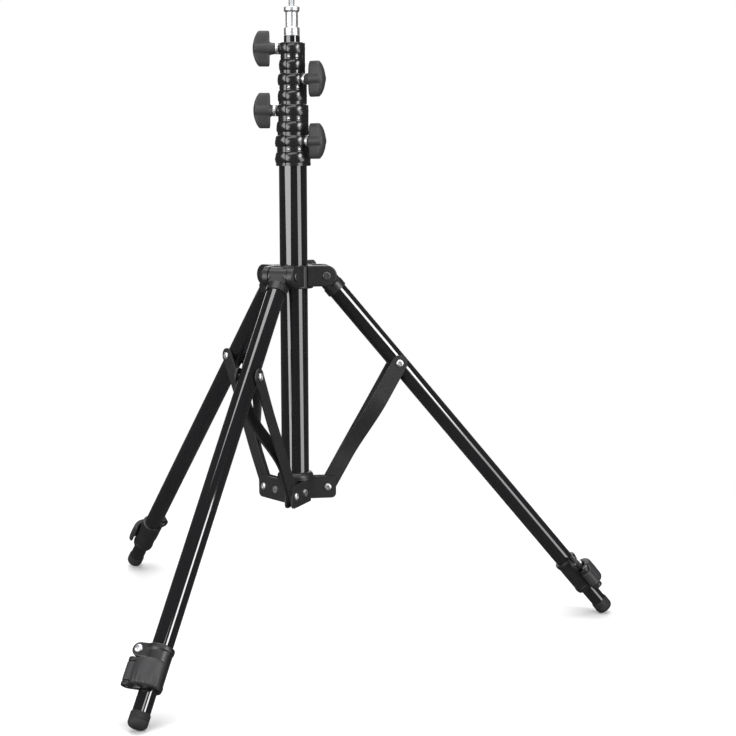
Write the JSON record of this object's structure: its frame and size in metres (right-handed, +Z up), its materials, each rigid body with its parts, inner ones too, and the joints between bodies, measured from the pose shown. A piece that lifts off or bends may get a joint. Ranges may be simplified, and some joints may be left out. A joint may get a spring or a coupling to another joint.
{
  "type": "lighting stand",
  "caption": "Telescopic black lighting stand with folding tripod legs, braced spreader, clamp collars with T-knobs, flip-lever levelling legs and a chrome spigot.",
  "frame": {"origin": "on the floor, on the column's axis, midway between the three feet", "axes": "+Z up along the column to the spigot; the right leg points along +X"},
  "size_m": [0.5172, 0.588, 0.6425],
  "materials": {
    "tube_black": "gloss black coat",
    "moulded_black": "semi-gloss moulded",
    "grip_plastic": "fine-textured moulded",
    "glide_plastic": "plain moulded",
    "powder_coat": "matt powder coat",
    "bright_steel": "zinc plated",
    "dark_steel": "black oxide",
    "chrome_spigot": "chrome plated",
    "rubber_foot": "matt rubber"
  },
  "bodies": {
    "column": {"base_tube": "tube_black", "base_plug": "glide_plastic", "column_ring": "moulded_black", "spreader_bolts": "bright_steel", "spreader_plate_front": "powder_coat", "spreader_plate_right": "powder_coat", "spreader_plate_rear": "powder_coat", "collar_1": "moulded_black", "collar_screws_1": "bright_steel"},
    "riser_1": {"riser_1": "tube_black", "riser_bush_1": "glide_plastic", "collar_2": "moulded_black", "collar_screws_2": "bright_steel"},
    "riser_2": {"riser_2": "tube_black", "riser_bush_2": "glide_plastic", "collar_3": "moulded_black", "collar_screws_3": "bright_steel"},
    "riser_3": {"riser_3": "tube_black", "riser_bush_3": "glide_plastic", "collar_4": "moulded_black", "collar_screws_4": "bright_steel"},
    "riser_4": {"riser_4": "tube_black", "riser_bush_4": "glide_plastic", "spigot": "chrome_spigot"},
    "knob_1": {"knob_1": "grip_plastic", "knob_stud_1": "bright_steel"},
    "knob_2": {"knob_2": "grip_plastic", "knob_stud_2": "bright_steel"},
    "knob_3": {"knob_3": "grip_plastic", "knob_stud_3": "bright_steel"},
    "knob_4": {"knob_4": "grip_plastic", "knob_stud_4": "bright_steel"},
    "hub": {"hub": "moulded_black", "hub_bolts": "dark_steel"},
    "hub_knob": {"hub_knob": "grip_plastic", "hub_knob_stud": "bright_steel"},
    "brace_front": {"brace_front": "powder_coat"},
    "leg_front": {"leg_eye_front": "moulded_black", "leg_tube_front": "tube_black", "leg_clamp_front": "moulded_black", "leg_fasteners_front": "bright_steel"},
    "clamp_lever_front": {"clamp_lever_front": "grip_plastic"},
    "lower_leg_front": {"lower_tube_front": "tube_black", "leg_foot_front": "rubber_foot"},
    "brace_right": {"brace_right": "powder_coat"},
    "leg_right": {"leg_eye_right": "moulded_black", "leg_tube_right": "tube_black", "leg_clamp_right": "moulded_black", "leg_fasteners_right": "bright_steel"},
    "clamp_lever_right": {"clamp_lever_right": "grip_plastic"},
    "lower_leg_right": {"lower_tube_right": "tube_black", "leg_foot_right": "rubber_foot"},
    "brace_rear": {"brace_rear": "powder_coat"},
    "leg_rear": {"leg_eye_rear": "moulded_black", "leg_tube_rear": "tube_black", "leg_clamp_rear": "moulded_black", "leg_fasteners_rear": "bright_steel"},
    "clamp_lever_rear": {"clamp_lever_rear": "grip_plastic"},
    "lower_leg_rear": {"lower_tube_rear": "tube_black", "leg_foot_rear": "rubber_foot"}
  },
  "joints": [
    {"name": "fold_front", "type": "hinge", "parent": "column", "child": "brace_front", "pos_m": [-0.00718, -0.03534, 0.145], "axis": [-0.866, 0.5, 0], "range_deg": [0, 22.9]},
    {"name": "fold_right", "type": "hinge", "parent": "column", "child": "brace_right", "pos_m": [0.0342, 0.01145, 0.145], "axis": [0, -1, 0], "range_deg": [0, 22.9]},
    {"name": "fold_rear", "type": "hinge", "parent": "column", "child": "brace_rear", "pos_m": [-0.02702, 0.02389, 0.145], "axis": [0.866, 0.5, 0], "range_deg": [0, 22.9]},
    {"name": "leg_swing_front", "type": "hinge", "parent": "brace_front", "child": "leg_front", "pos_m": [-0.05345, -0.09258, 0.27477], "axis": [0.866, -0.5, 0], "range_deg": [0, 53.75]},
    {"name": "leg_swing_right", "type": "hinge", "parent": "brace_right", "child": "leg_right", "pos_m": [0.1069, 0, 0.27477], "axis": [0, 1, 0], "range_deg": [0, 53.75]},
    {"name": "leg_swing_rear", "type": "hinge", "parent": "brace_rear", "child": "leg_rear", "pos_m": [-0.05345, 0.09258, 0.27477], "axis": [-0.866, -0.5, 0], "range_deg": [0, 53.75]},
    {"name": "hub_level", "type": "hinge", "parent": "leg_front", "child": "hub", "pos_m": [-0.01572, -0.02723, 0.36518], "axis": [-0.866, 0.5, 0], "range_deg": [0, 30.85]},
    {"name": "riser_slide_1", "type": "slide", "parent": "column", "child": "riser_1", "axis": [0, 0, 1], "range_m": [0, 0.28]},
    {"name": "riser_slide_2", "type": "slide", "parent": "riser_1", "child": "riser_2", "axis": [0, 0, 1], "range_m": [0, 0.28]},
    {"name": "riser_slide_3", "type": "slide", "parent": "riser_2", "child": "riser_3", "axis": [0, 0, 1], "range_m": [0, 0.28]},
    {"name": "riser_slide_4", "type": "slide", "parent": "riser_3", "child": "riser_4", "axis": [0, 0, 1], "range_m": [0, 0.28]},
    {"name": "knob_turn_1", "type": "hinge", "parent": "column", "child": "knob_1", "pos_m": [0.02194, -0.02046, 0.4992], "axis": [-0.7314, 0.682, 0], "range_deg": [0, 450]},
    {"name": "knob_turn_2", "type": "hinge", "parent": "riser_1", "child": "knob_2", "pos_m": [-0.02993, 0.00209, 0.5296], "axis": [0.9976, -0.0698, 0], "range_deg": [0, 450]},
    {"name": "knob_turn_3", "type": "hinge", "parent": "riser_2", "child": "knob_3", "pos_m": [0.02194, -0.02046, 0.56], "axis": [-0.7314, 0.682, 0], "range_deg": [0, 450]},
    {"name": "knob_turn_4", "type": "hinge", "parent": "riser_3", "child": "knob_4", "pos_m": [-0.02984, 0.00314, 0.5904], "axis": [0.9945, -0.1045, 0], "range_deg": [0, 450]},
    {"name": "hub_knob_turn", "type": "hinge", "parent": "hub", "child": "hub_knob", "pos_m": [0.02125, 0.0315, 0.36518], "axis": [-0.5592, -0.829, 0], "range_deg": [0, 450]},
    {"name": "lever_flip_front", "type": "hinge", "parent": "leg_front", "child": "clamp_lever_front", "pos_m": [-0.16987, -0.26023, 0.04356], "axis": [-0.3204, -0.5549, -0.7677], "range_deg": [0, 100]},
    {"name": "leg_extend_front", "type": "slide", "parent": "leg_front", "child": "lower_leg_front", "axis": [-0.3204, -0.5549, -0.7677], "range_m": [-0.018, 0.18]},
    {"name": "lever_flip_right", "type": "hinge", "parent": "leg_right", "child": "clamp_lever_right", "pos_m": [0.3103, -0.017, 0.04356], "axis": [0.6408, 0, -0.7677], "range_deg": [0, 100]},
    {"name": "leg_extend_right", "type": "slide", "parent": "leg_right", "child": "lower_leg_right", "axis": [0.6408, 0, -0.7677], "range_m": [-0.018, 0.18]},
    {"name": "lever_flip_rear", "type": "hinge", "parent": "leg_rear", "child": "clamp_lever_rear", "pos_m": [-0.14043, 0.27723, 0.04356], "axis": [-0.3204, 0.5549, -0.7677], "range_deg": [0, 100]},
    {"name": "leg_extend_rear", "type": "slide", "parent": "leg_rear", "child": "lower_leg_rear", "axis": [-0.3204, 0.5549, -0.7677], "range_m": [-0.018, 0.18]}
  ],
  "couplings": [
    {"joint": "fold_right", "follows": "fold_front", "ratio": 1},
    {"joint": "fold_rear", "follows": "fold_front", "ratio": 1},
    {"joint": "leg_swing_front", "follows": "fold_front", "ratio": 2.343},
    {"joint": "leg_swing_right", "follows": "fold_front", "ratio": 2.343},
    {"joint": "leg_swing_rear", "follows": "fold_front", "ratio": 2.343},
    {"joint": "hub_level", "follows": "fold_front", "ratio": 1.343}
  ]
}
